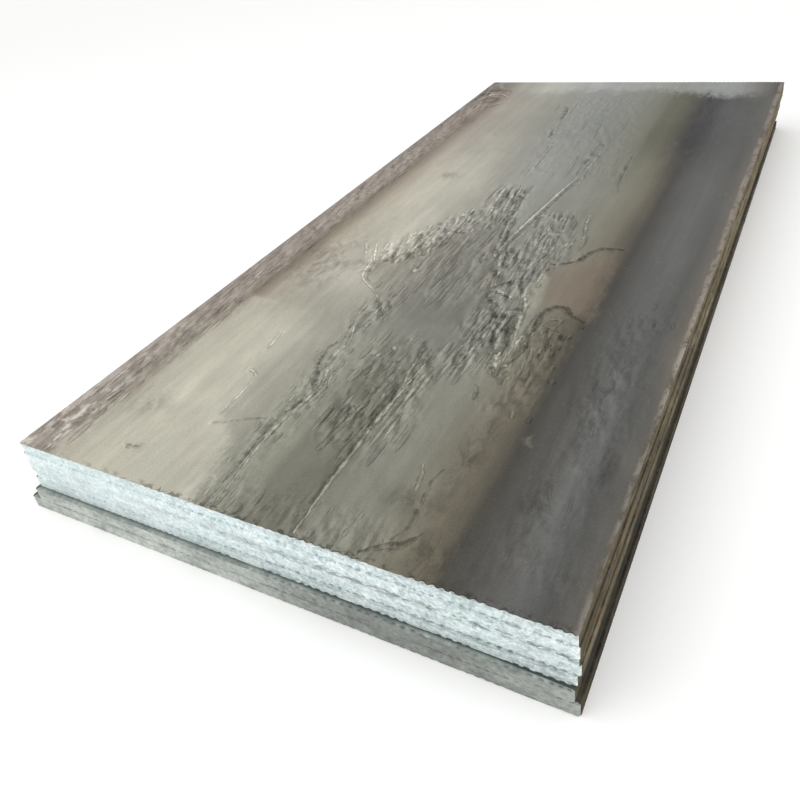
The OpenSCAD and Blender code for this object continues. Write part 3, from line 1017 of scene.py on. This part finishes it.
def lipShaper():
    s = Shaper("liftedLips", {"Spacing": "NodeSocketFloat", "Wander": "NodeSocketFloat",
                              "Wander Size": "NodeSocketFloat", "Seed": "NodeSocketFloat",
                              "Finish": "NodeSocketMaterial"})
    path = s.add("GeometryNodeMeshToCurve", {"Mesh": s.given["Geometry"]}).outputs[0]
    path = s.add("GeometryNodeCurveSplineType", {"Curve": path}, spline_type="CATMULL_ROM").outputs[0]
    given = {"Curve": path, "Length": s.given["Spacing"]}
    path = s.add("GeometryNodeResampleCurve", given, mode="LENGTH").outputs[0]
    path = s.wandered(path, s.given["Wander Size"], s.given["Wander"], s.given["Seed"])
    path = s.add("GeometryNodeSetCurveNormal", {"Curve": path}, mode="Z_UP").outputs[0]
    uneven = s.add("ShaderNodeTexNoise", {"Vector": s.place, "Scale": 60.0, "Detail": 2.0}).outputs[0]
    wide = s.times(s.named("wide"), s.math("MULTIPLY_ADD", uneven, 2.4, -0.15))
    wide = s.times(wide, s.swelling(0.45))
    path = s.store(path, "swell", wide)
    lips = s.swept(path)
    gate = s.add("ShaderNodeMapRange", {"Value": uneven, "From Min": 0.44, "From Max": 0.54}).outputs[0]
    gap = s.times(s.math("SUBTRACT", 1.0, gate), s.named("broken"))
    strength = s.times(s.named("strength"), s.math("SUBTRACT", 1.0, gap))
    lips = s.paintLightAndShade(lips, s.times(strength, s.math("MULTIPLY_ADD", uneven, 1.4, 0.3)))
    return s.close(lips)


def strokeShaper():
    s = Shaper("crumpledStrokes", {"Wander": "NodeSocketFloat", "Wander Size": "NodeSocketFloat",
                                   "Stray": "NodeSocketFloat", "Seed": "NodeSocketInt",
                                   "Finish": "NodeSocketMaterial"})
    line = s.add("GeometryNodeCurvePrimitiveLine", {"Start": (0, 0.5, 0), "End": (0, -0.5, 0)}).outputs[0]
    line = s.add("GeometryNodeResampleCurve", {"Curve": line, "Count": 7}, mode="COUNT").outputs[0]
    line = s.add("GeometryNodeSetCurveNormal", {"Curve": line}, mode="Z_UP").outputs[0]
    line = s.store(line, "swell", s.swelling(0.15))
    stroke = s.swept(line)
    given = {"Mesh": s.given["Geometry"], "Density": s.named("density"), "Seed": s.given["Seed"]}
    places = s.add("GeometryNodeDistributePointsOnFaces", given).outputs["Points"]

    def chance(low, high, shift):
        given = {"Seed": s.plus(s.given["Seed"], shift)}
        node = s.add("FunctionNodeRandomValue", given, data_type="FLOAT")
        node.inputs[2].default_value, node.inputs[3].default_value = low, high
        return node.outputs[1]

    given = {"X": chance(-1.0, 1.0, 6.0), "Y": chance(-2.0, 2.0, 7.0)}
    stray = s.add("ShaderNodeCombineXYZ", given).outputs[0]
    stray = s.add("ShaderNodeVectorMath", {0: stray, "Scale": s.given["Stray"]}, operation="SCALE").outputs[0]
    places = s.add("GeometryNodeSetPosition", {"Geometry": places, "Offset": stray}).outputs[0]
    lean = s.times(s.named("lean"), chance(0.3, 1.7, 1.0))
    turn = s.add("ShaderNodeCombineXYZ", {"Z": lean}).outputs[0]
    given = {"X": s.times(s.named("wide"), chance(0.6, 1.4, 2.0)),
             "Y": s.times(s.named("long"), chance(0.4, 1.5, 3.0)),
             "Z": s.times(s.named("high"), chance(0.6, 1.2, 4.0))}
    size = s.add("ShaderNodeCombineXYZ", given).outputs[0]
    places = s.store(places, "strength", s.times(s.named("strength"), chance(-0.8, 1.2, 5.0)))
    given = {"Points": places, "Instance": stroke, "Rotation": turn, "Scale": size}
    strokes = s.add("GeometryNodeInstanceOnPoints", given).outputs[0]
    strokes = s.add("GeometryNodeRealizeInstances", {"Geometry": strokes}).outputs[0]
    strokes = s.wandered(strokes, s.given["Wander Size"], s.given["Wander"], 3.0)
    return s.close(s.paintLightAndShade(strokes, s.named("strength")))


def settleOnTop(mesh, name):
    # lays grown scale on the sunken skin of the top plate and gives it the fields that colour it
    co = vertexPlaces(mesh)
    edge = np.array([topLie["width"], topLie["length"]]) / 2 - plateCut["inner"]
    co[:, :2] = np.clip(co[:, :2], -edge, edge)
    fields = skinFields(co[:, 0], co[:, 1])
    room = fields["sink"] - scaleShape["room"]
    co[:, 2] = topLie["thick"] - fields["sink"] + np.minimum(co[:, 2], room)
    mesh.vertices.foreach_set("co", co.ravel())
    storeNumbers(mesh, {key: fields[key] for key in fields if key != "sink"})
    mesh.transform(placeOf(topLie))
    mesh.polygons.foreach_set("use_smooth", [True] * len(mesh.polygons))
    mesh.update()
    return addPiece(mesh, name)


scaleShape = {"spacing": 4 * mm, "wander": 10 * mm, "strokeWander": 8 * mm, "wanderSize": 16 * mm,
              "stray": 26 * mm, "seed": 4, "room": 0.05 * mm, "lipRise": 0.12, "lipWidth": 1.45,
              "lipLightAndShade": 0.85, "unbrokenFrom": 0.85, "broken": 0.8}


def buildLips():
    points, edges, wide, strength, broken = [], [], [], [], []
    for path, half, tone in skinLips:
        first = len(points)
        points += [onTopPlate(u, v) + (0.0,) for u, v in path]
        edges += [(first + k, first + k + 1) for k in range(len(path) - 1)]
        wide += [half * scaleShape["lipWidth"] * mm] * len(path)
        strength += [tone * scaleShape["lipLightAndShade"]] * len(path)
        whole = abs(tone) > scaleShape["unbrokenFrom"]
        broken += [0.0 if whole else scaleShape["broken"]] * len(path)
    source = bpy.data.meshes.new("lipPaths")
    source.from_pydata(points, edges, [])
    storeNumbers(source, {"wide": wide, "strength": strength, "broken": broken})
    given = {"Spacing": scaleShape["spacing"], "Wander": scaleShape["wander"],
             "Wander Size": scaleShape["wanderSize"], "Seed": float(scaleShape["seed"]),
             "Finish": finishes["topScale"]}
    mesh = grow(lipShaper(), source, given)
    co = vertexPlaces(mesh)
    co[:, 2] *= scaleShape["lipRise"]
    mesh.vertices.foreach_set("co", co.ravel())
    return settleOnTop(mesh, "lifted_scale_lips")


def buildStrokes():
    points, faces = [], []
    columns = {key: [] for key in ("density", "long", "wide", "high", "lean", "strength")}
    for patch in crumples.values():
        ring = [onTopPlate(u, v) for u, v in patch["outline"]]
        area = abs(sum(ax * by - bx * ay for (ax, ay), (bx, by) in zip(ring, ring[1:] + ring[:1]))) / 2
        first = len(points)
        points += [(x, y, 0.0) for x, y in ring]
        faces.append(list(range(first, len(points))))
        values = {"density": patch["count"] / area, "long": patch["long"] * mm, "wide": patch["wide"] * mm,
                  "high": patch["high"] * mm, "lean": math.radians(patch["lean"]), "strength": patch["tone"]}
        for key, value in values.items():
            columns[key] += [value] * len(ring)
    source = bpy.data.meshes.new("crumplePatches")
    source.from_pydata(points, [], faces)
    storeNumbers(source, columns)
    given = {"Wander": scaleShape["strokeWander"], "Wander Size": 2 * scaleShape["wanderSize"],
             "Stray": scaleShape["stray"], "Seed": scaleShape["seed"], "Finish": finishes["topScale"]}
    mesh = grow(strokeShaper(), source, given)
    return settleOnTop(mesh, "crumpled_scale")


buildLips()
buildStrokes()
print("scale lips and strokes grown")

# Camera, light and floor

camera = {"across": 1738.8 * mm, "back": 768.8 * mm, "up": 1144.6 * mm, "pitch": 32.856, "yaw": 33.241,
          "roll": 9.151, "lens": 33.544, "shift": -0.069}


def addCamera():
    low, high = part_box("upper_plate_1")
    data = bpy.data.cameras.new("viewCamera")
    data.sensor_width, data.lens, data.shift_y = 36, camera["lens"], camera["shift"]
    data.clip_start, data.clip_end = 0.01, 100
    eye = bpy.data.objects.new("viewCamera", data)
    turn = (Matrix.Rotation(math.radians(camera["yaw"]), 4, "Z")
            @ Matrix.Rotation(math.radians(90 - camera["pitch"]), 4, "X")
            @ Matrix.Rotation(math.radians(-camera["roll"]), 4, "Z"))
    eye.matrix_world = Matrix.Translation((low.x + camera["across"], low.y - camera["back"],
                                           high.z + camera["up"])) @ turn
    bpy.context.scene.collection.objects.link(eye)
    bpy.context.scene.camera = eye


studio = {"sky": 0.98, "floor": (253, 253, 252), "floorReach": 14, "floorDown": 0.0005, "key": 66,
          "keySize": 5.0, "fill": 33.0, "fillSize": 3.0}


def addStudio():
    scene = bpy.context.scene
    scene.view_settings.view_transform = "Standard"
    world = bpy.data.worlds.new("studioSky")
    scene.world = world
    world.use_nodes = True
    world.node_tree.nodes["Background"].inputs["Color"].default_value = (1, 1, 1, 1)
    world.node_tree.nodes["Background"].inputs["Strength"].default_value = studio["sky"]
    mesh = bpy.data.meshes.new("floor")
    reach, down = studio["floorReach"], studio["floorDown"]
    corners = [(x * reach, y * reach, -down) for x, y in ((-1, -1), (1, -1), (1, 1), (-1, 1))]
    mesh.from_pydata(corners, [], [(0, 1, 2, 3)])
    floor = bpy.data.objects.new("floor", mesh)
    s = Shader("paleFloor")
    mesh.materials.append(s.finish(srgb(*studio["floor"]), 0.9))
    scene.collection.objects.link(floor)
    for label, spot, aim, power, size in (
            ("keyLight", (-3.2, -3.0, 3.4), (0, 0, 0.1), studio["key"], studio["keySize"]),
            ("fillLight", (3.6, -2.2, 2.6), (0.3, 0, 0.1), studio["fill"], studio["fillSize"])):
        data = bpy.data.lights.new(label, "AREA")
        data.energy, data.size = power, size
        lamp = bpy.data.objects.new(label, data)
        facing = (Vector(aim) - Vector(spot)).to_track_quat("-Z", "Y").to_matrix().to_4x4()
        lamp.matrix_world = Matrix.Translation(spot) @ facing
        scene.collection.objects.link(lamp)


addCamera()
addStudio()
print("camera, light and floor set")
